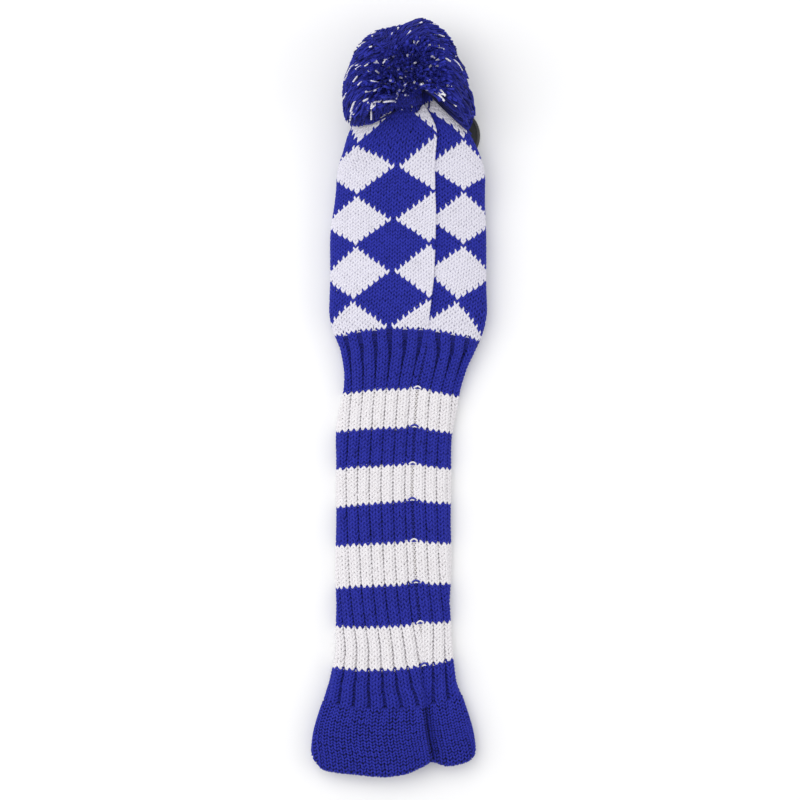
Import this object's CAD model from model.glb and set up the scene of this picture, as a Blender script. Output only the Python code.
import math

import bpy
import numpy as np
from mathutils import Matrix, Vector


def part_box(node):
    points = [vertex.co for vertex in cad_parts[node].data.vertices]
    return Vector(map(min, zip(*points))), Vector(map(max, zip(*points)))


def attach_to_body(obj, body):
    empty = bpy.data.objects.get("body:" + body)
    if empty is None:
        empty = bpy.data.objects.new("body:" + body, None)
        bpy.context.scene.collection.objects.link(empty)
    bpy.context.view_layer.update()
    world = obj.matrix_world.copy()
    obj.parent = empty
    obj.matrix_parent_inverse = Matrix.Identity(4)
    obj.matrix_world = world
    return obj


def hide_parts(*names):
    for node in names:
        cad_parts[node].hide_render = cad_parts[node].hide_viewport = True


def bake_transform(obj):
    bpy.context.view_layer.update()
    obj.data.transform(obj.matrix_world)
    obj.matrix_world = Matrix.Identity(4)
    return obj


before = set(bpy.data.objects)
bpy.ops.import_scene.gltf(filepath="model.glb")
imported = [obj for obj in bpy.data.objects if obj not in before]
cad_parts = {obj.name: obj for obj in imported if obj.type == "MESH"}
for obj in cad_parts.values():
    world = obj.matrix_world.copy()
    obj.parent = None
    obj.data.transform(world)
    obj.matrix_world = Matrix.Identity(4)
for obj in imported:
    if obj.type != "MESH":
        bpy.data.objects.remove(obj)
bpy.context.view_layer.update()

# Knitted driver head cover. The knitting is made stitch by stitch: every stitch is a loop of yarn on the
# surface of a flattened tube. Lengths are in millimetres until a mesh is made, and in metres in the
# folds, materials, lights and camera.

MM = 0.001
rng = np.random.default_rng(7)

WALES = 63  # stitches round the tube
TURN_WALE = 32  # ribs are counted from the seam both ways, and meet here on the underside
CUFF_ROW = 20  # first ribbed row above the plain cuff
CHAIN_ROW = 24  # first row with linking stitches in the seam
MID_ROWS = (50, 60)  # the white stripe that the neck folds at
COLLAR_ROW = 100
HEAD_ROW = 116  # first row of the head
CROWN_SPLIT = 146  # the head's knitting is made in two pieces, below and above this row
CROWN_ROW = 181
STRIPE_ROWS = 10
FACING_ROWS = 21  # rows of the hem's turned-in layer
REPEAT = 14  # stitches and rows from one diamond to the next
DIAMOND_WALE = 5  # a diamond's middle, counted from the seam to the right
DIAMOND_REACH = 6  # stitches and rows from a diamond's middle to its points
YARN = 0.80  # yarn radius
SKIN = 1.5  # from the fabric's face to the middle of its loops


def ease(value, start, end):
    """Rises smoothly from 0 at start to 1 at end."""
    share = np.clip((np.asarray(value, float) - start) / (end - start), 0, 1)
    return share * share * (3 - 2 * share)


def as_arrays(*values):
    return np.broadcast_arrays(*(np.asarray(value, float) for value in values))


def full_turn(count):
    return np.linspace(0, math.tau, count, endpoint=False)


def hill(distance, width):
    """A smooth bump of height 1."""
    return np.exp(-(distance / width) ** 2)


def smooth_line(points):
    """A curve through points (x, y) that never overshoots them."""
    x, y = np.array(sorted(points), float).T
    step, slope = np.diff(x), np.diff(y) / np.diff(x)
    tangent = np.zeros(len(x))
    for i in range(1, len(x) - 1):
        if slope[i - 1] * slope[i] > 0:
            near, far = 2 * step[i] + step[i - 1], step[i] + 2 * step[i - 1]
            tangent[i] = (near + far) / (near / slope[i - 1] + far / slope[i])
    tangent[0], tangent[-1] = slope[0], slope[-1]

    def at(value):
        value = np.asarray(value, float)
        i = np.clip(np.searchsorted(x, value) - 1, 0, len(step) - 1)
        t = (value - x[i]) / step[i]
        inside = np.clip(t, 0, 1)
        a, b = inside * inside * (3 - 2 * inside), inside * (1 - inside)
        mid = (y[i] * (1 - a) + y[i + 1] * a
               + step[i] * b * (tangent[i] * (1 - inside) - tangent[i + 1] * inside))
        return mid + (t - inside) * step[i] * np.where(t < 0, tangent[i], tangent[i + 1])

    return at


# ---- the run of the sock ----

NECK_WIDE, HEAD_WIDER, CUFF_WIDER = 38, 13.5, 16.4  # half widths, lying flat
NECK_THICK, HEAD_THICKER, CUFF_THICKER = 8.3, 5.7, 1.3  # half heights
LEAN_NARROWS, LEAN_SHIFTS = 3, 1.8  # what the head's lean takes off its half width, and moves it
GATHER = 6  # radius that the crown is drawn in to
TOP_POWER, UNDER_POWER = 2.4, 3.6  # roundness of the section, on top and underneath


def dome(y):
    """How far the tube is open towards the crown, 1 to 0."""
    return (1 - np.clip((y - 140) / 60, 0, 1) ** 1.6) ** 0.6


def lean(y):
    """The left side of the head leans in towards the crown."""
    return ease(y, 100, 146) * (1 - ease(y, 156, 178))


def half_sizes(y, inset):
    flare = ease(-y, 160, 232)
    wide = NECK_WIDE + HEAD_WIDER * ease(y, 2, 58) + CUFF_WIDER * flare - LEAN_NARROWS * lean(y)
    thick = NECK_THICK + HEAD_THICKER * ease(y, 2, 75) + CUFF_THICKER * flare
    gather = GATHER * (1 - dome(y))
    wide, thick = np.hypot(wide * dome(y), gather), np.hypot(thick * dome(y), gather)
    return np.maximum(wide - inset, 1.5), np.maximum(thick - inset, 1.0)


def centre(y):
    """Where the tube's middle is across the cover, and how high."""
    across = -3.3 + 9.6 * ease(y, -32, 36) + LEAN_SHIFTS * lean(y)
    raised = np.clip((y - 110) / 90, 0, 2)
    return across, half_sizes(np.minimum(y, 100), 0)[1] + 16 * raised ** 1.3 - 0.4


# the seam's place across the cover, from the crown down to the hem
seam_x = smooth_line([(210, 6.3), (199, 7.5), (188, 16.6), (170, 24), (150, 22.7), (117, 23.4), (85, 22.6),
                      (47, 18.9), (32, 18.2), (23, 16.1), (5, 12.2), (-21, 10.4), (-58, 8.9), (-93, 10.1),
                      (-120, 11.4), (-172, 16.6), (-197, 17.5), (-219, 19.8), (-236, 23), (-250, 24)])

RUN = np.arange(-262.0, 212.0)  # places along the cover, 1 mm apart
AROUND = 540  # points round the tube
FINE_STEPS = 3600  # points that they are picked from


def surface(inset):
    """Points of the tube's surface, from the seam round to the right, for each place in RUN."""
    wide, thick = half_sizes(RUN, inset)
    across, up = centre(RUN)
    share = np.clip((seam_x(RUN) - across) / wide, -0.97, 0.97)
    start = np.arccos(np.sign(share) * np.abs(share) ** (TOP_POWER / 2))
    angle = start[:, None] - np.linspace(0, math.tau, FINE_STEPS + 1)[None]
    cos, sin = np.cos(angle), np.sin(angle)
    power = np.where(sin >= 0, 2 / TOP_POWER, 2 / UNDER_POWER)
    x = across[:, None] + np.sign(cos) * np.abs(cos) ** power * wide[:, None]
    z = up[:, None] + np.sign(sin) * np.abs(sin) ** power * thick[:, None]
    z = np.maximum(z, inset)
    length = np.cumsum(np.hypot(np.diff(x, axis=1), np.diff(z, axis=1)), axis=1)
    length = np.hstack([np.zeros((len(RUN), 1)), length])
    even = np.linspace(0, 1, AROUND + 1)
    rings = []
    for i in range(len(RUN)):
        at = even * length[i, -1]
        rings.append(np.column_stack([np.interp(at, length[i], x[i]), np.full(AROUND + 1, RUN[i]),
                                      np.interp(at, length[i], z[i])]))
    return np.array(rings), length[:, -1]


def facing_out(grid):
    """The surface's outward direction at each point, evened out over its neighbours."""
    along_u = np.roll(grid[:, :-1], -2, axis=1) - np.roll(grid[:, :-1], 2, axis=1)
    along_y = np.gradient(grid[:, :-1], axis=0)
    out = np.cross(along_u, along_y)
    out /= np.linalg.norm(out, axis=2, keepdims=True) + 1e-9
    out = sum(np.roll(out, i, axis=1) for i in range(-4, 5))
    out /= np.linalg.norm(out, axis=2, keepdims=True) + 1e-9
    return np.concatenate([out, out[:, :1]], axis=1)


OUTER, GIRTH = surface(SKIN)
OUT = facing_out(OUTER)


def sample(grid, y, u):
    """Bilinear look-up in a grid over RUN and the way round."""
    a = np.clip(y - RUN[0], 0, len(RUN) - 1.001)
    b = np.mod(u, 1) * AROUND
    i, j = a.astype(int), np.minimum(b.astype(int), AROUND - 1)
    fa, fb = a - i, b - j
    if grid.ndim == 3:
        fa, fb = fa[..., None], fb[..., None]
    return ((grid[i, j] * (1 - fb) + grid[i, j + 1] * fb) * (1 - fa)
            + (grid[i + 1, j] * (1 - fb) + grid[i + 1, j + 1] * fb) * fa)


def girth_at(y):
    return np.interp(y, RUN, GIRTH)


# ---- rows and wales ----

# each line of stitches: its row, its place along the sock in the middle, its tilt and its bow
ROW_LINES = [(0, -244.4, 0, 0), (20, -202, 1.95, 6.6), (30, -176.6, 2.6, 3.6), (40, -149, 1.6, 1.5),
             (50, -121.9, 1.4, -0.6), (60, -94.8, 1, -1), (70, -68, 1.3, -2.2),
             (80, -44.3, 0.2, -2.4), (90, -19.8, -0.3, -2.8), (100, 5.3, -0.7, -3.8),
             (116, 45.2, -1.5, -6.3), (123.5, 64.8, -0.6, -4), (130.5, 81.8, 0.3, -2.6),
             (137.5, 100, 0.5, -2.9), (144.5, 115.5, 1, -1.8), (151.5, 133.6, 1.8, -2.3),
             (158.5, 149.8, 0.9, -3), (165.5, 170.9, 2.9, -7.4), (172.5, 190.6, 1.6, -4.4),
             (177, 196, 0.5, -1.5), (181, 199.2, 0, 0)]
row_middle, row_tilt, row_bow = (smooth_line([(line[0], line[i]) for line in ROW_LINES]) for i in (1, 2, 3))
# how far the hem's edge rises, from its left end at -1 to its right end at 1
hem_rise = smooth_line([(-1, 14), (-0.95, 9), (-0.87, 4.4), (-0.47, 1.6), (-0.1, 0), (0.16, 2), (0.38, 7),
                        (0.48, 9.6), (0.57, 8.4), (0.68, 7), (0.82, 8), (0.94, 10), (1, 14)])

wale_number = np.arange(WALES)
purl = np.where(wale_number < TURN_WALE, wale_number % 3 == 2, (WALES - wale_number) % 3 == 0)
purl_upto = np.concatenate([[0], np.cumsum(purl)])
knit_upto = np.concatenate([[0], np.cumsum(~purl)])
purl_middles = wale_number[purl] + 0.5
wale_edges = np.arange(WALES + 1)

# wales that the seam takes in on its left, and on its right, row by row
taken_left = smooth_line([(0, 4.0), (20, 4.0), (33, 1.1), (42, 1.0), (104, 1.15), (116, 1.25), (123, 1.15),
                          (137, 0.5), (145, 0.8), (152, 1.3), (160, 1.6), (166, 1.7), (181, 1.7)])
taken_right = smooth_line([(0, 0.9), (20, 0.9), (30, 0.4), (40, 0), (104, 0), (114, 0.4), (123, 0.5),
                           (130, 0.25), (137, 0), (181, 0)])
# how much wider the stitches lie on top, left of the middle, than underneath
crowding = smooth_line([(0, 0.045), (104, 0.045), (114, 0), (123, -0.04), (137, -0.055), (146, -0.01),
                        (152, 0.02), (158, 0.03), (165, 0.25), (181, 0.27)])
HEM_FOLD = 1.7  # radius of the folded hem, to the middle of its loops
HEM_ROWS = 2.3  # rows that go round the fold


def row_girth(row):
    return girth_at(row_middle(np.maximum(row, 0)))


def purl_width(row):
    """Width of a purl wale beside a knit one: it draws in between the ribs."""
    width = 0.16 + 0.84 * ease(row, HEAD_ROW - 13, HEAD_ROW - 1) + 0.34 * ease(-row, -44, -CUFF_ROW)
    return np.where(row < CUFF_ROW, 0.5 + 0.5 * ease(-row, -CUFF_ROW, -CUFF_ROW + 7), width)


def spread(wale, row):
    """Share of the way round, and how far a stitch is tucked into the seam, as a share of the girth."""
    row = np.maximum(row, 0)
    width = purl_width(row)

    def upto(w):
        return np.interp(w, wale_edges, knit_upto) + width * np.interp(w, wale_edges, purl_upto)

    first, last = upto(taken_right(row)), upto(WALES - taken_left(row))
    u = (upto(wale) - first) / (last - first)
    tucked = np.where(u < 0, -u, np.where(u > 1, u - 1, 0))
    u = np.clip(u, 0, 1)
    crowded = crowding(row)
    u = u - crowded * (np.sin(math.tau * (u - 0.4)) - math.sin(-0.8 * math.pi)) / math.tau
    chain = 1.1 * ease(row, 30, 42) * ease(-row, -HEAD_ROW, -HEAD_ROW + 6)
    gap = chain / row_girth(row)
    return gap + u * (1 - 2 * gap), tucked


def groove(wale, row):
    """Depth of the furrow that the purl wales make between the ribs."""
    reach = np.abs(np.asarray(wale)[..., None] - purl_middles).min(axis=-1)
    strong = ease(row, CUFF_ROW - 0.5, CUFF_ROW + 0.5) * ease(-row, -HEAD_ROW - 0.5, -HEAD_ROW + 5)
    wider = 0.7 + 0.25 * ease(-row, -36, -CUFF_ROW)
    return (3.1 * strong) * hill(reach, wider) - 0.35 * strong


def relief(row, y, u, girth):
    """Folds and bulges: the seam's valley, the head's overlap and the pleat of the cuff."""
    on_right = u < 0.5
    reach = np.where(on_right, u, 1 - u) * girth
    head_part = ease(row, HEAD_ROW - 3, HEAD_ROW + 6)
    cuff_part = ease(-row, -38, -14)
    neck_part = (1 - head_part) * (1 - cuff_part)
    rise = np.where(on_right, -1.5 * hill(reach, 6), hill(reach, 9)) * head_part
    rise += -1.5 * hill(reach, 3.6) * neck_part
    rise += np.where(on_right, -4.4 * hill(reach, 5),
                     1.6 * hill(reach - 5, 5) - 5.0 * hill(reach, 1.5)) * cuff_part
    slow = (np.sin(0.055 * y + 12.57 * u) * np.sin(12.57 * u + 0.02 * y) * 0.5
            + 0.25 * np.sin(0.12 * y - 25.13 * u))
    return rise + slow


def on_cloth(row, u, depth):
    """Points in space, and the fabric's outward direction, at a row and a share of the way round.

    depth is above the middle of the loops. Rows below 0 go round the folded hem and up inside."""
    row, u, depth = as_arrays(row, u, depth)
    turned = np.clip(-row / HEM_ROWS, 0, 1) * math.pi
    up_row = np.where(row < 0, np.maximum(-row - HEM_ROWS, 0), row)
    y = row_middle(up_row)
    across, _ = centre(y)
    wide, _ = half_sizes(y, SKIN)
    side = np.clip((sample(OUTER[..., 0], y, u) - across) / wide, -1, 1)
    reach = np.minimum(np.mod(u, 1), 1 - np.mod(u, 1)) * girth_at(y)
    y = y + row_tilt(up_row) * side + row_bow(up_row) * side ** 2
    y = y + 1.6 * hill(reach, 7) * ease(up_row, 24, 40) * ease(-up_row, -HEAD_ROW, -HEAD_ROW + 8)
    y = y + hem_rise(side) * (1 - ease(up_row, 0, 19))
    girth = girth_at(y)
    point = sample(OUTER, y, u)
    out = unit(sample(OUT, y, u))
    fold = relief(up_row, y, u, girth)
    low = np.clip((point[..., 2] - 2.2) / 4, 0, 1)
    point = point + out * (fold * low - HEM_FOLD * (1 - np.cos(turned)))[..., None]
    point[..., 1] -= HEM_FOLD * np.sin(turned)
    facing = out * np.cos(turned)[..., None]
    facing[..., 1] -= np.sin(turned)
    facing = unit(facing)
    return point + facing * depth[..., None], facing


def place(wale, row, depth):
    """The same for a place counted in wales from the seam, with the ribs' furrows."""
    wale, row, depth = as_arrays(wale, row, depth)
    u, tucked = spread(wale, row)
    # what the seam takes in goes down under it, and less deep in the plain cuff
    sink = 0.35 + 0.65 * ease(row, 22, 34)
    lift = depth - groove(wale, row) * (tucked == 0)
    lift = lift - sink * tucked * row_girth(row)
    return on_cloth(row, u, lift)


# ---- yarn ----

LOOP_STEPS = 10
LOOP_SIDES = 6
LOOP_REACH, CUFF_REACH = 1.65, 1.42  # rows that a loop reaches over, and in the plain cuff
LOOP_LEAN = 0.285  # how far a loop's legs close in above its foot, in wales
LOOP_DEPTH = 0.6
SQUARE = np.array([(0, 0), (1, 0), (1, 1), (0, 1)], float)  # corners of a cloth quad


def unit(v):
    return v / (np.linalg.norm(v, axis=-1, keepdims=True) + 1e-12)


def loop_paths(wale, row, reverse, reach):
    """The yarn's path through each stitch: wale, row and depth for each step."""
    t = np.linspace(0, 1, LOOP_STEPS + 1)[None]
    side = wale[:, None] + t + LOOP_LEAN * np.sin(4 * math.pi * t)
    along = row[:, None] + 0.5 - reach / 2 * np.cos(math.tau * t)
    front = np.where(reverse, -1.0, 1.0)[:, None]
    return side, along, -front * LOOP_DEPTH * np.cos(4 * math.pi * t)


def tube_mesh(path, out, wide, high, sides):
    """Tubes along several paths: vertices and quads."""
    count, steps = path.shape[:2]
    ahead = unit(np.gradient(path, axis=1))
    across = unit(np.cross(ahead, out))
    above = unit(np.cross(across, ahead))
    turn = full_turn(sides)
    wide = np.broadcast_to(wide, (count, steps))[..., None, None]
    high = np.broadcast_to(high, (count, steps))[..., None, None]
    ring = (across[:, :, None] * np.cos(turn)[:, None] * wide
            + above[:, :, None] * np.sin(turn)[:, None] * high)
    verts = (path[:, :, None] + ring).reshape(-1, 3)
    base = (np.arange(count)[:, None, None] * steps + np.arange(steps - 1)[:, None]) * sides
    here = np.arange(sides)
    after = (here + 1) % sides
    quads = np.stack([base + here, base + after, base + sides + after, base + sides + here], axis=-1)
    return verts, quads.reshape(-1, 4)


def flat_uv(u, v):
    return np.stack(np.broadcast_arrays(u, v), axis=-1).reshape(-1, 2)


def cell_uv(index, cells, u, v, margin):
    """A cell of its own for each tube or quad, in a square of cells by cells."""
    share = 1 - 2 * margin
    u, v = margin + share * u, margin + share * v
    return flat_uv((index % cells + u) / cells, (index // cells + v) / cells)


class Batch:
    """Collects tubes and cloth quads that become one mesh. Each gets a UV patch of its own."""

    def __init__(self):
        self.tubes = []
        self.patches = []

    def add(self, path, out, wide, high=None, sides=6, tone=0.5):
        path = path[None] if path.ndim == 2 else path
        high = wide if high is None else high
        self.tubes.append((path, np.broadcast_to(out, path.shape), wide, high, sides,
                           np.broadcast_to(tone, path.shape[:2])))

    def add_patches(self, corners, tone):
        self.patches.append((corners, np.broadcast_to(tone, corners.shape[:2])))

    def build(self, name, material):
        total = sum(len(tube[0]) for tube in self.tubes) + sum(len(patch[0]) for patch in self.patches)
        cells = math.ceil(math.sqrt(total))
        parts = []
        first, used = 0, 0
        for path, out, wide, high, sides, tone in self.tubes:
            count, steps = path.shape[:2]
            verts, quads = tube_mesh(path, out, wide, high, sides)
            lengths = np.linalg.norm(np.diff(path, axis=1), axis=2).sum(axis=1)[:, None, None, None]
            along = (np.arange(steps - 1)[:, None, None] + (0, 0, 1, 1)) / (steps - 1)
            around = (np.arange(sides)[:, None] + (0, 1, 1, 0)) / sides
            index = first + np.arange(count)[:, None, None, None]
            parts.append((verts, quads + used, flat_uv(around, along * lengths),
                          cell_uv(index, cells, around, along, 0.07), np.repeat(tone.reshape(-1), sides)))
            first += count
            used += len(verts)
        for corners, tone in self.patches:
            count = len(corners)
            index = first + np.arange(count)[:, None]
            parts.append((corners.reshape(-1, 3), used + np.arange(count * 4).reshape(-1, 4),
                          np.tile(SQUARE * 2, (count, 1)),
                          cell_uv(index, cells, *SQUARE.T, 0.1), tone.reshape(-1)))
            first += count
            used += count * 4
        verts, quads, yarn, cell, tones = (np.concatenate(group) for group in zip(*parts))
        return add_mesh(name, verts, quads, material, yarn, cell, tones)


def add_mesh(name, verts, quads, material, yarn_uv, bake_uv, tone):
    mesh = bpy.data.meshes.new(name)
    mesh.vertices.add(len(verts))
    mesh.vertices.foreach_set("co", (np.asarray(verts) * MM).astype(np.float32).ravel())
    mesh.loops.add(quads.size)
    mesh.loops.foreach_set("vertex_index", quads.astype(np.int32).ravel())
    mesh.polygons.add(len(quads))
    mesh.polygons.foreach_set("loop_start", np.arange(0, quads.size, quads.shape[1], dtype=np.int32))
    mesh.update(calc_edges=True)
    mesh.polygons.foreach_set("use_smooth", np.ones(len(quads), bool))
    for label, uv in (("yarn", yarn_uv), ("OFBake", bake_uv)):
        layer = mesh.uv_layers.new(name=label)
        layer.data.foreach_set("uv", uv.astype(np.float32).ravel())
    mesh.uv_layers["yarn"].active_render = True
    shade = mesh.attributes.new("tone", "FLOAT", "POINT")
    shade.data.foreach_set("value", tone.astype(np.float32))
    mesh.materials.append(material)
    piece = bpy.data.objects.new(name, mesh)
    bpy.context.scene.collection.objects.link(piece)
    return piece


def grid_mesh(name, points, material):
    """A sheet through a grid of points, joined into a ring."""
    rows, columns = points.shape[:2]
    i, j = np.meshgrid(np.arange(rows - 1), np.arange(columns), indexing="ij")
    here, after = i * columns + j, i * columns + (j + 1) % columns
    quads = np.stack([here, after, after + columns, here + columns], axis=-1).reshape(-1, 4)
    u = np.stack([j, j + 1, j + 1, j], axis=-1) / columns
    v = np.stack([i, i, i + 1, i + 1], axis=-1) / (rows - 1)
    uv = flat_uv(u, v)
    return add_mesh(name, points.reshape(-1, 3), quads, material, uv, uv * 0.98 + 0.01,
                    np.full(rows * columns, 0.5))


def along_path(points, count, closed=False):
    """Evenly spaced points along a line through the given ones."""
    points = np.asarray(points, float)
    if closed:
        points = np.vstack([points, points[:1]])
    reach = np.concatenate([[0], np.cumsum(np.linalg.norm(np.diff(points, axis=0), axis=1))])
    even = np.linspace(0, reach[-1], count)
    return np.column_stack([np.interp(even, reach, points[:, k]) for k in range(3)])


def add_twisted(batch, points, radius, plies, turn_length, closed=False):
    """A cord of twisted plies along a line."""
    points = np.asarray(points, float)
    length = np.linalg.norm(np.diff(points, axis=0), axis=1).sum()
    line = along_path(points, max(12, int(length / turn_length * 10)), closed)
    ahead = unit(np.gradient(line, axis=0))
    if closed:
        ahead[0] = ahead[-1] = unit(line[1] - line[-2])
    side = np.zeros_like(line)
    side[0] = unit(np.cross(ahead[0], (0.31, 0.2, 0.93)))
    for i in range(1, len(line)):
        side[i] = unit(side[i - 1] - ahead[i] * np.dot(side[i - 1], ahead[i]))
    other = np.cross(ahead, side)
    slip = math.atan2(np.dot(side[-1], other[0]), np.dot(side[-1], side[0])) if closed else 0
    turns = max(1, round(length / turn_length)) if closed else length / turn_length
    angle = np.linspace(0, math.tau * turns - slip, len(line))
    for ply in range(plies):
        a = angle + math.tau * ply / plies
        offset = side * np.cos(a)[:, None] + other * np.sin(a)[:, None]
        batch.add(line + offset * radius * 0.52, offset, radius * 0.5, sides=8)


# ---- materials ----

class Look:
    """A material while it is being made."""

    def __init__(self, name):
        self.material = bpy.data.materials.new(name)
        self.material.use_nodes = True
        self.tree = self.material.node_tree
        self.shader = self.tree.nodes["Principled BSDF"]

    def feed(self, socket, given):
        """Links an output to a socket, or gives the socket a plain value."""
        if isinstance(given, bpy.types.NodeSocket):
            self.tree.links.new(given, socket)
        else:
            socket.default_value = given

    def node(self, kind, **values):
        made = self.tree.nodes.new("ShaderNode" + kind)
        for key, value in values.items():
            if key in made.inputs:
                self.feed(made.inputs[key], value)
            else:
                setattr(made, key, value)
        return made

    def math(self, operation, *inputs):
        made = self.node("Math", operation=operation)
        for socket, given in zip(made.inputs, inputs):
            self.feed(socket, given)
        return made.outputs[0]

    def noise(self, **values):
        """Noise by the surface's place in space."""
        where = self.node("NewGeometry").outputs["Position"]
        return self.node("TexNoise", Vector=where, **values).outputs["Fac"]

    def colour(self, output, stops):
        """The base colour runs through the stops (position, colour) as the output rises."""
        ramp = self.node("ValToRGB")
        elements = ramp.color_ramp.elements
        for position, _ in stops[1:-1]:
            elements.new(position)
        for element, (position, colour) in zip(elements, stops):
            element.position = position
            element.color = (*colour, 1)
        self.feed(ramp.inputs[0], output)
        self.feed(self.shader.inputs["Base Color"], ramp.outputs[0])

    def texture(self, grain, rough, height, strength, depth):
        """Roughness runs over a range with the grain, and the height raises a fine relief."""
        ranged = self.node("MapRange", Value=grain, **{"To Min": rough[0], "To Max": rough[1]})
        self.feed(self.shader.inputs["Roughness"], ranged.outputs[0])
        bumps = self.node("Bump", Height=height, Strength=strength, Distance=depth)
        self.feed(self.shader.inputs["Normal"], bumps.outputs[0])


def yarn_material(name, colour, shadow, light, sheen, tint, ply=1.1):
    """Plied acrylic yarn: plies run round the yarn, fine fibres over them, each stitch its own shade."""
    look = Look(name)
    uv = look.node("UVMap", uv_map="yarn")
    parts = look.node("SeparateXYZ", Vector=uv.outputs[0])
    along = look.math("MULTIPLY", parts.outputs["Y"], math.tau / ply)
    wave = look.math("SINE", look.math("MULTIPLY_ADD", parts.outputs["X"], 4 * math.pi, along))
    fibre = look.noise(Scale=1500.0, Detail=3.0, Roughness=0.6)
    height = look.math("MULTIPLY_ADD", wave, 0.5, fibre)
    tone = look.node("Attribute", attribute_name="tone")
    shade = look.math("MULTIPLY_ADD", height, 0.28, tone.outputs["Fac"])
    look.colour(shade, [(0.15, shadow), (0.5, colour), (0.85, light)])
    look.texture(fibre, (0.72, 0.95), height, 0.25, 0.0003)
    shader = look.shader
    shader.inputs["Specular IOR Level"].default_value = 0.25
    shader.inputs["Sheen Weight"].default_value = sheen
    shader.inputs["Sheen Roughness"].default_value = 0.45
    shader.inputs["Sheen Tint"].default_value = (*tint, 1)
    return look.material


BLUE_SHEEN, WHITE_SHEEN = (0.35, 0.4, 1.0), (1.0, 1.0, 1.0)
BLUE = yarn_material("blue_yarn", (0.0105, 0.0150, 0.222), (0.0015, 0.002, 0.035), (0.021, 0.028, 0.35),
                     0.10, BLUE_SHEEN)
WHITE = yarn_material("white_yarn", (0.70, 0.685, 0.77), (0.50, 0.485, 0.54), (0.75, 0.735, 0.82),
                      0.12, WHITE_SHEEN)
RIB_WHITE = yarn_material("rib_white_yarn", (0.775, 0.75, 0.775), (0.68, 0.65, 0.62), (0.81, 0.79, 0.815),
                          0.12, WHITE_SHEEN)
POM_BLUE = yarn_material("pom_yarn", (0.0125, 0.0170, 0.26), (0.001, 0.0015, 0.035), (0.034, 0.043, 0.46),
                         0.12, BLUE_SHEEN)
POM_WHITE = yarn_material("pom_white_yarn", (0.80, 0.78, 0.84), (0.25, 0.25, 0.38), (0.88, 0.87, 0.92),
                          0.12, WHITE_SHEEN)
POM_CORE_BLUE = yarn_material("pom_core_yarn", (0.002, 0.003, 0.035), (0.001, 0.001, 0.015),
                              (0.004, 0.005, 0.06), 0.05, BLUE_SHEEN)
SEAM = yarn_material("seam_yarn", (0.018, 0.024, 0.29), (0.003, 0.004, 0.07), (0.030, 0.040, 0.41),
                     0.12, BLUE_SHEEN)
CORD = yarn_material("loop_cord", (0.02, 0.02, 0.022), (0.006, 0.006, 0.007), (0.035, 0.035, 0.04),
                     0.2, WHITE_SHEEN, ply=0.6)


def fleece_material():
    look = Look("lining_fleece")
    tufts = look.noise(Scale=420.0, Detail=4.0, Roughness=0.65)
    look.colour(tufts, [(0.3, (0.006, 0.008, 0.07)), (0.7, (0.014, 0.018, 0.15))])
    look.texture(tufts, (0.8, 1.0), tufts, 0.6, 0.0008)
    look.shader.inputs["Sheen Weight"].default_value = 0.4
    return look.material


def hard_material(name, colour, edge, rough, metallic=0.0, bump=0.05):
    """Moulded or metal surface: fine grain in its gloss and height, broad patches in its colour."""
    look = Look(name)
    grain = look.noise(Scale=900.0, Detail=3.0, Roughness=0.55)
    look.colour(look.noise(Scale=60.0, Detail=2.0), [(0.35, colour), (0.65, edge)])
    look.texture(grain, rough, grain, bump, 0.0002)
    look.shader.inputs["Metallic"].default_value = metallic
    return look.material


FLEECE = fleece_material()
TAG_BLACK = hard_material("tag_black", (0.010, 0.010, 0.012), (0.016, 0.016, 0.018), (0.25, 0.42))
DIAL_GREY = hard_material("dial_grey", (0.014, 0.015, 0.018), (0.020, 0.021, 0.025), (0.5, 0.7), bump=0.2)
RIVET = hard_material("rivet_metal", (0.55, 0.55, 0.57), (0.62, 0.62, 0.64), (0.25, 0.4), metallic=1.0)


# ---- knitting ----

rows_all, wales_all = np.meshgrid(np.arange(CROWN_ROW), wale_number, indexing="ij")
rows_all, wales_all = rows_all.ravel(), wales_all.ravel()


def is_white(row, wale):
    """Colour of a stitch: white stripes by turns, and the head's diamonds."""
    stripe = (row - CUFF_ROW) // STRIPE_ROWS
    striped = (row >= CUFF_ROW) & (row < COLLAR_ROW) & (stripe % 2 == 1)
    across = np.abs((wale - DIAMOND_WALE + REPEAT // 2) % REPEAT - REPEAT // 2)
    along = np.abs((row - HEAD_ROW + REPEAT // 2) % REPEAT - REPEAT // 2)
    diamond = (row >= HEAD_ROW) & (across + along <= DIAMOND_REACH)
    return striped | diamond


def add_stitches(batch, rows, wales, pale=False):
    """The stitches at those rows and wales, with the cloth seen between them."""
    reverse = purl[wales] & (rows >= CUFF_ROW) & (rows < HEAD_ROW)
    reach = np.where(rows < CUFF_ROW, CUFF_REACH, LOOP_REACH)[:, None]
    side, along, deep = loop_paths(wales.astype(float), rows.astype(float), reverse, reach)
    side = side + 0.035 * rng.standard_normal(len(rows))[:, None]
    along = along + 0.07 * rng.standard_normal(len(rows))[:, None]
    path, out = place(side, along, deep)
    front = np.where(reverse, -1, 1)[:, None] * deep
    plain_cuff = (rows < CUFF_ROW)[:, None]
    contrast = 0.12 if pale else np.where(plain_cuff, 0.85, 0.42)
    shade = 0.46 + 0.06 * rng.standard_normal(len(rows))[:, None] + contrast * front
    shade = shade - 0.1 * plain_cuff + 0.1 * plain_cuff * rng.standard_normal(shade.shape)
    yarn = YARN * (1.06 if pale else np.where(plain_cuff, 0.8, 0.96))
    batch.add(path, out, yarn, yarn * 0.92, LOOP_SIDES, shade)
    back, _ = place(wales[:, None] + SQUARE[:, 0], rows[:, None] + SQUARE[:, 1],
                    -0.1 if pale else np.where(plain_cuff, -0.9, -0.6))
    batch.add_patches(back, 0.45 if pale else np.where(plain_cuff, -0.1, 0.0))


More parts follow.
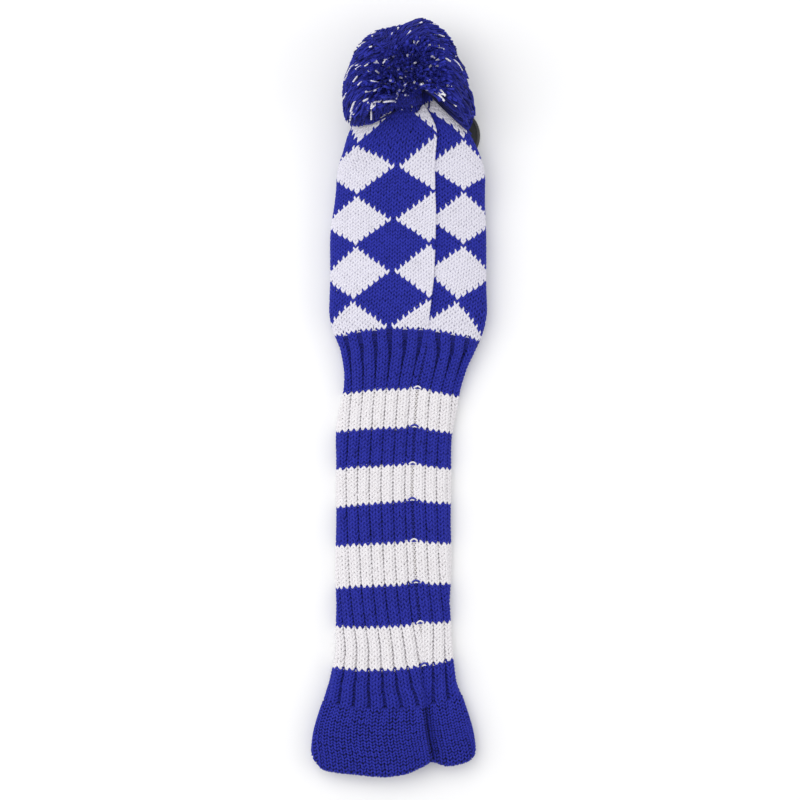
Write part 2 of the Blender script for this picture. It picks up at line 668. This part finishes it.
def knit_rows(name, low, high, material, white=None):
    """The stitches of the rows from low up to high, or only the white or the blue ones of them."""
    chosen = (rows_all >= low) & (rows_all < high)
    if white is not None:
        chosen &= is_white(rows_all, wales_all) == white
    batch = Batch()
    add_stitches(batch, rows_all[chosen], wales_all[chosen], material is not BLUE)
    return batch.build(name, material)


def attach(piece, body, slot, *nodes):
    """Says what a piece rides on, what it is made of and which parts it stands for."""
    if body:
        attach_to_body(piece, body)
    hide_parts(*nodes)
    return piece


# where each fold's bend begins and ends
COLLAR_FOLD = ((0, 0.037, 0.01), (0, 0.009, 0.01))
MID_FOLD = ((0, -0.0985, 0.01), (0, -0.1205, 0.01))


def make_knitting():
    for kind, material, white in (("ground", BLUE, False), ("diamonds", WHITE, True)):
        for part, low, high in (("head", HEAD_ROW, CROWN_SPLIT), ("crown", CROWN_SPLIT, CROWN_ROW)):
            piece = knit_rows(f"{part}_{kind}", low, high, material, white)
            attach(piece, "head", "white_yarn" if white else "blue_yarn", "head_knit")
    collar = knit_rows("collar_rib_knit", COLLAR_ROW, HEAD_ROW, BLUE)
    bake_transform(attach(collar, None, "blue_yarn", "collar_rib"))
    for number in range(1, 9):
        colour = "white" if number % 2 else "blue"
        high = COLLAR_ROW - STRIPE_ROWS * (number - 1)
        piece = knit_rows(f"stripe_{number}_knit", high - STRIPE_ROWS, high,
                          RIB_WHITE if number % 2 else BLUE)
        body = "upper_neck" if number < 5 else "lower_neck"
        attach(piece, None if number == 5 else body, f"{colour}_yarn", f"stripe_{number}_{colour}")
        if number == 5:
            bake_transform(piece)
    attach(knit_rows("cuff_knit", 0, CUFF_ROW, BLUE), "lower_neck", "blue_yarn", "cuff")
    turned = Batch()
    rows, wales = np.meshgrid(np.arange(-FACING_ROWS, 0), wale_number, indexing="ij")
    add_stitches(turned, rows.ravel(), wales.ravel())
    attach(turned.build("cuff_facing_knit", BLUE), "lower_neck", "blue_yarn", "cuff_facing")


make_knitting()


# ---- seam ----

CHAIN_DEPTH = 0.1
ALLOWANCE_DEPTH = -3.9  # the rolled edge lies this far inside the fabric's face


def add_chain(batch, rows):
    """A line of small linking stitches in the seam's valley."""
    t = np.linspace(0, 1, LOOP_STEPS + 1)[None]
    across = 2 * t - 1 + 0.95 * np.sin(4 * math.pi * t)
    across = across + 0.12 * rng.standard_normal(len(rows))[:, None]
    along = rows[:, None] + 0.5 - 0.62 * np.cos(math.tau * t)
    deep = CHAIN_DEPTH - 0.5 * np.cos(4 * math.pi * t)
    path, out = on_cloth(along, across / row_girth(along), deep)
    shade = 0.24 + 0.05 * rng.standard_normal(len(rows))[:, None] + 0.2 * (deep - CHAIN_DEPTH)
    batch.add(path, out, 0.5, 0.5, LOOP_SIDES, shade)


def add_allowance(batch, low, high):
    """The rolled edge inside the seam, with the yarn that links it wound round it."""
    rows = np.arange(low, high + 0.01, 0.5)
    line, out = on_cloth(rows, np.zeros(len(rows)), ALLOWANCE_DEPTH)
    batch.add(line, out, 1.5, 1.1, 10, 0.3)
    turn = np.arange(low, high, 0.06)
    angle = math.tau * turn
    around = 1.7 * np.cos(angle) / row_girth(turn)
    wound, out = on_cloth(turn, around, ALLOWANCE_DEPTH + 1.25 * np.sin(angle))
    batch.add(wound, out, 0.3, 0.3, 5, 0.45)


def add_arc(batch, row, width, height, drop, radius):
    """A loop of yarn that shows across the seam where the colour changes."""
    t = np.linspace(0, 1, 13)
    across = width * (t - 0.5)
    along = row + height * np.sin(math.pi * t) - drop
    path, out = on_cloth(along, across / row_girth(along), 2.2 - 1.4 * (2 * t - 1) ** 8)
    batch.add(path, out, radius, radius * 0.9, LOOP_SIDES, 0.55)


def make_seam():
    """Each stretch of the seam in its two colours, riding or bending with the cloth about it."""
    stretches = [("head_seam", HEAD_ROW, CROWN_ROW - 2, "head", None),
                 ("collar_seam", COLLAR_ROW, HEAD_ROW, None, ("head", "upper_neck", *COLLAR_FOLD)),
                 ("upper_neck_seam", MID_ROWS[1], COLLAR_ROW, "upper_neck", None),
                 ("mid_neck_seam", *MID_ROWS, None, ("upper_neck", "lower_neck", *MID_FOLD)),
                 ("lower_neck_seam", CUFF_ROW, MID_ROWS[0], "lower_neck", None),
                 ("cuff_seam", 0, CUFF_ROW, "lower_neck", None)]
    for name, low, high, body, bend in stretches:
        blue, white = Batch(), Batch()
        add_allowance(blue, low, high)
        chained = np.arange(max(low, CHAIN_ROW), min(high, HEAD_ROW))
        pale = is_white(chained, 0)
        for batch, rows in ((blue, chained[~pale]), (white, chained[pale])):
            if len(rows):
                add_chain(batch, rows)
        for border in range(CUFF_ROW + STRIPE_ROWS, COLLAR_ROW + 1, STRIPE_ROWS):
            if low <= border - 1 < high:
                upper, lower = (white, blue) if is_white(border, 0) else (blue, white)
                add_arc(lower, border, 5.2 if upper is white else 4.6, 0.42, 0.0, 0.5)
                add_arc(upper, border, 2.6, 0.1, 0.2, 0.42)
        for colour, batch, material, slot in (("blue", blue, SEAM, "seam_yarn"),
                                              ("white", white, RIB_WHITE, "white_yarn")):
            if not batch.tubes:
                continue
            piece = attach(batch.build(f"{name}_{colour}", material), body, slot, name)
            if bend:
                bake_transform(piece)


make_seam()


# ---- lining and crown ----

LINING_END = 179.0
LINING_MOUTH = 51.0


def closing(ring, shares, rise):
    """Rings that draw in over the end of a sheet towards its middle."""
    middle = ring.mean(axis=1, keepdims=True)
    return [ring * (1 - k) + middle * k + (0, rise * math.sin(k * math.pi / 2), 0) for k in shares]


def make_lining():
    """Inner sock of fleece: an outer and an inner face, closed at the crown, hemmed at its mouth."""
    faces = []
    for inset in (6.0, 7.3):
        grid, _ = surface(inset)
        rows = np.arange(int(LINING_MOUTH - RUN[0]), int(LINING_END - RUN[0]), 2)
        ring = grid[rows][:, :-1:4]
        middle = ring.mean(axis=1, keepdims=True)
        turn = full_turn(ring.shape[1])[None]
        y = RUN[rows][:, None]
        crease = 0.5 * np.sin(5 * turn + 0.05 * y) + 0.35 * np.sin(11 * turn - 0.09 * y)
        inward = unit(middle - ring)
        faces.append(ring + inward * (0.5 + crease)[..., None])
    outer, inner = faces
    close = closing(outer[-1:], (0.35, 0.7, 0.97), 2.5)
    inner_close = closing(inner[-1:], (0.97, 0.7, 0.35), 1.2)
    lip = (outer[:1] + inner[:1]) / 2 + (0, -1.0, 0)
    sheet = np.vstack([outer, *close, *inner_close, inner[::-1], lip, outer[:1]])
    attach(grid_mesh("lining_sock", sheet, FLEECE), "head", "lining_fleece", "head_lining")


CROWN = np.array([6.3, 199.0, 29.6])


def attach_cords(name, material, lines, radius, plies, turn_length, closed, *belongs):
    """One piece of twisted cords along the lines; belongs is what attach takes after the piece."""
    batch = Batch()
    for line in lines:
        add_twisted(batch, line, radius, plies, turn_length, closed)
    attach(batch.build(name, material), *belongs)


def make_crown():
    """The crown's gathering yarn, and the pom-pom's tie with its tails and their knot."""
    turn = full_turn(40)
    circle = CROWN + np.column_stack([5 * np.cos(turn), 1.2 + 0.35 * np.sin(6 * turn), 5 * np.sin(turn)])
    attach_cords("crown_gathering_yarn", SEAM, [circle], 0.85, 2, 3.5, True,
                 "head", "seam_yarn", "crown_drawstring")
    run = np.linspace(0, 1, 12)
    tails = [CROWN + np.column_stack([side * np.cos(7 * run), -7.3 + 7.8 * run, side * np.sin(7 * run)])
             for side in (-0.62, 0.62)]
    attach_cords("pompom_tail_yarns", SEAM, tails, 0.62, 2, 2.5, False, "head", "pom_yarn", "pompom_tails")
    t = full_turn(80)
    trefoil = np.column_stack([np.sin(t) + 2 * np.sin(2 * t), -np.sin(3 * t), np.cos(t) - 2 * np.cos(2 * t)])
    knot = CROWN + (0, -8.6, -1.3) + trefoil * (0.55, 0.8, 0.5)
    attach_cords("pompom_overhand_knot", SEAM, [knot], 0.6, 2, 2.5, True, "head", "pom_yarn", "pompom_knot")
    turn = np.linspace(0, 8 * math.pi, 120)
    coil = CROWN + np.column_stack([3.7 * np.cos(turn), 5.2 + 0.9 * turn / math.pi, 3.7 * np.sin(turn)])
    attach_cords("pompom_tie_yarn", SEAM, [coil], 0.85, 2, 3.0, False,
                 "pompom_tie", "pom_yarn", "pompom_tie")


make_lining()
make_crown()


# ---- number tag ----

TAG = np.array([35.3, 171.0, 0.0])
EAR = math.radians(137.5)  # direction from the tag's middle to its cord
CORD_RADIUS = 0.7  # of the loop, and of the stitch that holds it
LOOP_HALF = 1.8  # half the distance between the cord's two runs


def make_tag():
    """Cord loop and anchor stitch. The case, the dial and the rivet keep their own meshes."""
    away = np.array([math.cos(EAR), math.sin(EAR), 0])
    low = TAG + away * 21.75 + (0, 0, 2.6)
    top = TAG + away * 25.4 + (0, 0, 16.4)
    rise = unit(top - low)
    side = unit(np.cross(rise, np.cross((0, 0, 1), away))) * LOOP_HALF
    bend = rise * LOOP_HALF
    half = np.linspace(0, math.pi, 9)[:, None]
    loop = np.vstack([low + side * np.cos(half) - bend * np.sin(half),
                      top - side * np.cos(half) + bend * np.sin(half)])
    attach_cords("tag_loop_cord", CORD, [loop], CORD_RADIUS, 3, 2.2, True, "tag", "loop_cord", "tag_loop")
    lower, upper = (np.array(corner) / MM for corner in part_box("tag_anchor"))
    middle, reach = (lower + upper) / 2, (upper - lower) / 2
    turn = full_turn(30)
    ring = middle + np.outer(np.cos(turn), (-away[1], away[0], 0)) * (reach[2] - CORD_RADIUS)
    ring[:, 2] += np.sin(turn) * (reach[2] - CORD_RADIUS)
    attach_cords("tag_anchor_stitch", SEAM, [ring], CORD_RADIUS, 2, 3.0, True,
                 "head", "seam_yarn", "tag_anchor")
    for node, material in (("tag_case", TAG_BLACK), ("tag_dial", DIAL_GREY), ("tag_rivet", RIVET)):
        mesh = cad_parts[node].data
        mesh.materials.clear()
        mesh.materials.append(material)


make_tag()


# ---- pom-pom ----

POM_CORE = np.array([5.0, 207.0, 36.3])
POM_TALL = 36.2  # half height
STRANDS = 5600
GOLDEN_ANGLE = 137.508  # degrees, spreads the strands evenly
# the pom-pom's reach from its core, direction by direction, seen from above
POM_OUTLINE = [(3, 39.5), (18, 35.8), (32, 37.2), (50, 38.4), (70, 39.2), (82, 36.4), (93, 33), (108, 33.4),
               (130, 35.8), (150, 37), (163, 36.6), (176, 38.6), (190, 41.8), (203, 44.3), (219, 49),
               (230, 42), (243, 27), (258, 20.5), (290, 20.5), (311, 22), (317.5, 25), (321, 51), (326, 51.5),
               (333, 50), (339, 44), (351, 41)]
# the way that the strands are combed, direction by direction
POM_COMB = [(0, -33), (20, -38), (40, -42), (55, -20), (70, 18), (85, 36), (100, 48), (118, 60), (135, 140),
            (150, 228), (175, 215), (200, 218), (220, 235), (240, 258), (258, 270), (290, 282), (320, 320)]


def round_line(points, turned=0):
    """A smooth line over bearings that closes on itself, or gains a turn each time round."""
    wrapped = ([(a - 360, r - turned) for a, r in points] + list(points)
               + [(a + 360, r + turned) for a, r in points])
    return smooth_line(wrapped)


pom_reach = round_line(POM_OUTLINE)
pom_comb = round_line(POM_COMB, 360)


def pom_surface(bearing, height):
    """Point of the pom-pom's outside, by bearing in degrees and height from -1 to 1."""
    level = np.sqrt(np.maximum(1 - np.abs(height) ** 2.1, 0))
    reach = pom_reach(np.mod(bearing, 360))
    narrow = 1 - 0.22 * np.clip(-height, 0, 1) ** 2
    a = np.radians(bearing)
    out = level * reach * narrow
    return POM_CORE + np.stack([np.cos(a) * out, np.sin(a) * out, height * POM_TALL], axis=-1)


def top_of_head(x, y, wider, thicker):
    """Height of the head's upper side over a place, with the head made wider and thicker."""
    wide, thick = half_sizes(y, 0)
    across, up = centre(y)
    share = np.clip(np.abs(x - across) / (wide + wider), 0, 1)
    return up, up + (thick + thicker) * (1 - share ** TOP_POWER) ** (1 / TOP_POWER)


def in_head(points, margin):
    x, y, z = np.moveaxis(points, -1, 0)
    wide, thick = half_sizes(y, 0)
    across, up = centre(y)
    aside, above = np.abs(x - across) / (wide + margin), np.abs(z - up) / (thick + margin)
    return (aside ** TOP_POWER + above ** TOP_POWER < 1) & (y < 201)


def strand_paths(tips, ends, steps, curl):
    """Strands that leave the tie, turn and end at their tips, pointing along ends."""
    count = len(tips)
    out = unit(tips - POM_CORE)
    size = np.linalg.norm(tips - POM_CORE, axis=1, keepdims=True)
    start = POM_CORE + rng.standard_normal((count, 3)) * 4
    near = start + out * size * 0.45
    far = tips - ends * (size * 0.52)
    t = np.linspace(0.3, 1, steps)[None, :, None]
    path = (start[:, None] * (1 - t) ** 3 + 3 * near[:, None] * t * (1 - t) ** 2
            + 3 * far[:, None] * t ** 2 * (1 - t) + tips[:, None] * t ** 3)
    phase = rng.uniform(0, 6.28, (count, 1, 3))
    return path + curl * np.sin(t * rng.uniform(10, 18, (count, 1, 3)) + phase) * t


def lift_off_head(path):
    """Strands that would run into the crown lie on top of it."""
    for _ in range(3):
        up, top = top_of_head(path[..., 0], path[..., 1], 1.5, 1.3)
        hit = in_head(path, 1.2) & (path[..., 2] > up - 2)
        path[..., 2] = np.where(hit, top + 0.3, path[..., 2])
    return path


# where the strands that lie on the crown start and end, seen from above, from one side to the other
TONGUE_EDGE = (17, 198.8), (45.3, 172.2)
TONGUE_FROM = [(14, 201.5), (23, 206), (33, 208)]
TONGUE_TO = [(45.3, 172.2), (47.5, 178), (49.8, 184.6)]
FRINGE_FROM = [(-24, 195), (-17, 200), (-10, 204), (-3, 206), (3, 207), (9, 206.5), (14, 206), (22, 204)]
FRINGE_TO = [(-30, 176.3), (-20, 179.3), (-14, 183), (-5, 184.6), (4, 184.6), (12, 183.5), (15, 188),
             (22, 191.5)]


def along_edge(points, share):
    """Places on a broken line, by the share of its points."""
    points = np.array(points, float)
    at = share * (len(points) - 1)
    return np.stack([np.interp(at, np.arange(len(points)), points[:, i]) for i in range(2)], axis=-1)


def lying_strands(starts, ends, count, layers):
    """Strands combed down over the crown, in layers, each ending somewhere short of the border."""
    share = (np.arange(count) + 0.5) / count
    start = along_edge(starts, share)
    layer = np.mod(np.arange(count) * 0.618, 1)
    end = start + (along_edge(ends, share) - start) * (1 - 0.5 * layer * rng.random(count))[:, None]
    loose = (rng.random(count) < 0.05)[:, None]
    end = end + np.where(loose, rng.normal(0, 2.2, (count, 2)), rng.normal(0, 0.25, (count, 2)))
    t = np.linspace(0, 1, 8)[None, :, None]
    flat = start[:, None] + (end - start)[:, None] * t
    flat = flat + rng.normal(0, 0.5, (count, 1, 2)) * np.sin(math.pi * t)
    rest = top_of_head(flat[..., 0], flat[..., 1], 2, 1)[1] + 0.8 + layer[:, None] * layers
    rest = np.where(flat[..., 1] > 199, np.maximum(rest, 36), rest)
    rest = rest + 15 * (1 - t[..., 0]) ** 2
    return np.concatenate([flat, rest[..., None]], axis=-1)


def combed_strands():
    """Strands from the tie to the outside: their paths, how far each lies over, and which are white."""
    index = np.arange(STRANDS) + 0.5
    height = 1 - 1.92 * (index / STRANDS) ** 1.25
    bearing = np.mod(index * GOLDEN_ANGLE + rng.normal(0, 4, STRANDS), 360)
    tips = pom_surface(bearing, np.clip(height, -0.97, 1))
    shell = np.clip(np.sqrt(1 - np.minimum(np.abs(height), 1) ** 2), 0, 1)
    out = unit((tips - POM_CORE) / np.array([1.0, 1.0, 0.9]))
    comb = np.radians(pom_comb(bearing) + rng.normal(0, 9, STRANDS))
    # at the parting on the upper left, half of the strands fall to the left
    stray = (np.abs(np.mod(bearing, 360) - 137) < 14) & (rng.random(STRANDS) < 0.5)
    comb = np.where(stray, math.radians(232), comb)
    flow = np.stack([np.cos(comb), np.sin(comb), np.full(STRANDS, -0.3)], axis=-1)
    flow = unit(flow - out * (flow * out).sum(axis=1, keepdims=True))
    # strands lie over towards the sides, and sooner on the upper left
    starts = 0.62 - 0.2 * hill(np.mod(bearing, 360) - 120, 55)
    lie = ease(shell, starts, starts + 0.2)[:, None] * np.where(height > 0, 1, 0.8)[:, None]
    ends = unit(flow * lie + out * (1 - 0.72 * lie) + rng.normal(0, 0.2, (STRANDS, 3)) * (1.3 - lie))
    white = rng.random(STRANDS) < np.where(lie[:, 0] > 0.5, 0.022, 0.065)
    depth = np.where(lie[:, 0] > 0.5, rng.uniform(0.94, 1.0, STRANDS), rng.uniform(0.90, 1.04, STRANDS))
    depth = np.where(white, np.maximum(depth, 0.995), depth)
    tips = POM_CORE + (tips - POM_CORE) * depth[:, None]
    path = strand_paths(tips, ends, 8, 0.35)
    dropped = in_head(path[:, -1], -4) & (path[:, -1, 1] < 198)
    path = lift_off_head(path)
    path[..., 2] = np.maximum(path[..., 2], 0.9)
    x, y, z = np.moveaxis(path, -1, 0)
    # low on the right, strands stay behind the edge of those that lie on the crown
    (x0, y0), (x1, y1) = TONGUE_EDGE
    beyond = ((x - x0) * (y1 - y0) - (y - y0) * (x1 - x0)) / math.hypot(x1 - x0, y1 - y0)
    dropped |= ((x > 15) & (y < 196) & (beyond > 0.8)).any(axis=1)
    under = (y < 192) & (z < 21) & (x > -16)
    keep = ~(in_head(path, 0.4) | under)[:, 2:].any(axis=1) & ~dropped
    return path[keep], lie[keep], white[keep]


def make_strands():
    path, lie, white = combed_strands()
    combed = len(path)
    path = np.concatenate([path, lying_strands(TONGUE_FROM, TONGUE_TO, 300, 5),
                           lying_strands(FRINGE_FROM, FRINGE_TO, 420, 4)])
    added = len(path) - combed
    lie = np.concatenate([lie, np.full((added, 1), 0.8)])
    white = np.concatenate([white, rng.random(added) < 0.05])
    # strands are dark towards the tie, and those that lie over are a little darker and finer
    from_core = np.linalg.norm(path - POM_CORE, axis=2)
    inner = from_core / from_core[:, -1:]
    shade = 0.48 + rng.normal(0, 0.09, (len(path), 1)) - 1.4 * np.clip(1 - inner, 0, 1)
    shade = shade + np.where(lie > 0.5, rng.normal(-0.13, 0.08, (len(path), 1)),
                             0.2 * np.linspace(0, 1, path.shape[1]) ** 3)
    radius = np.where(lie > 0.5, 0.66, np.where(white[:, None], 0.78, 0.9))
    radius = radius * (0.8, 0.9, 1, 1, 1, 1, 1, 0.85)
    even = np.arange(len(path)) % 2 == 0
    for name, material, chosen in (("pompom_blue_strands_a", POM_BLUE, ~white & even),
                                   ("pompom_blue_strands_b", POM_BLUE, ~white & ~even),
                                   ("pompom_white_strands", POM_WHITE, white)):
        batch = Batch()
        batch.add(path[chosen], unit(path[chosen] - POM_CORE), radius[chosen], sides=5, tone=shade[chosen])
        attach(batch.build(name, material), "pompom", "pom_yarn", "pompom_strands")


def make_heart():
    """The dark inside of the pom-pom, smaller where strands start high over the crown."""
    turn, level = np.meshgrid(np.linspace(0, 360, 72, endpoint=False), np.linspace(-0.94, 0.999, 40))
    filled = 0.74 - 0.3 * hill(turn - 312, 26)
    core = lift_off_head(POM_CORE + (pom_surface(turn, level) - POM_CORE) * filled[..., None])
    lumps = 1 + 0.03 * np.sin(np.radians(turn) * 9 + 7 * level) * np.sin(13 * level)
    core = POM_CORE + (core - POM_CORE) * lumps[..., None]
    attach(grid_mesh("pompom_heart", core, POM_CORE_BLUE), "pompom", "pom_yarn", "pompom_strands")


make_strands()
make_heart()


# ---- floor, light and camera ----

def make_stage():
    look = Look("paper_sweep")
    noise = look.node("TexNoise", Scale=6.0, Detail=2.0)
    look.colour(noise.outputs["Fac"], [(0.0, (0.90, 0.90, 0.91)), (1.0, (0.93, 0.93, 0.93))])
    look.shader.inputs["Roughness"].default_value = 0.9
    mesh = bpy.data.meshes.new("paper_floor")
    half = 3.0
    corners = [(-half, -half, 0), (half, -half, 0), (half, half, 0), (-half, half, 0)]
    mesh.from_pydata(corners, [], [(0, 1, 2, 3)])
    mesh.materials.append(look.material)
    floor = bpy.data.objects.new("paper_floor", mesh)
    bpy.context.scene.collection.objects.link(floor)


def add_light(name, place_at, wide, power):
    """A soft box that shines on the middle of the cover."""
    lamp = bpy.data.lights.new(name, "AREA")
    lamp.shape = "RECTANGLE"
    lamp.size, lamp.size_y = wide
    lamp.energy = power
    item = bpy.data.objects.new(name, lamp)
    bpy.context.scene.collection.objects.link(item)
    item.location = place_at
    item.rotation_euler = (-Vector(place_at)).to_track_quat("-Z", "Y").to_euler()


def make_lights():
    add_light("top_softbox", (-0.5, 0.5, 1.7), (1.6, 1.6), 14)
    add_light("left_softbox", (-1.5, 0.1, 0.8), (1.0, 1.4), 5.5)
    add_light("right_softbox", (1.5, -0.1, 0.9), (1.0, 1.4), 5)
    world = bpy.data.worlds.new("studio")
    bpy.context.scene.world = world
    world.use_nodes = True
    world.node_tree.nodes["Background"].inputs["Color"].default_value = (1, 1, 1, 1)
    world.node_tree.nodes["Background"].inputs["Strength"].default_value = 0.72


def make_camera():
    """Looks straight down on the cover, which lies with its pom-pom at the top of the frame."""
    lens = bpy.data.cameras.new("camera")
    lens.sensor_width = 36.0
    distance, frame_width, frame_height = 2.6, 0.520, 0.015
    lens.lens = lens.sensor_width * (distance - frame_height) / frame_width
    lens.clip_end = 20
    item = bpy.data.objects.new("camera", lens)
    bpy.context.scene.collection.objects.link(item)
    item.location = (0.0010, -0.0016, distance)
    item.rotation_euler = (0, 0, 0)
    bpy.context.scene.camera = item


make_stage()
make_lights()
make_camera()
bpy.context.scene.view_settings.view_transform = "Standard"
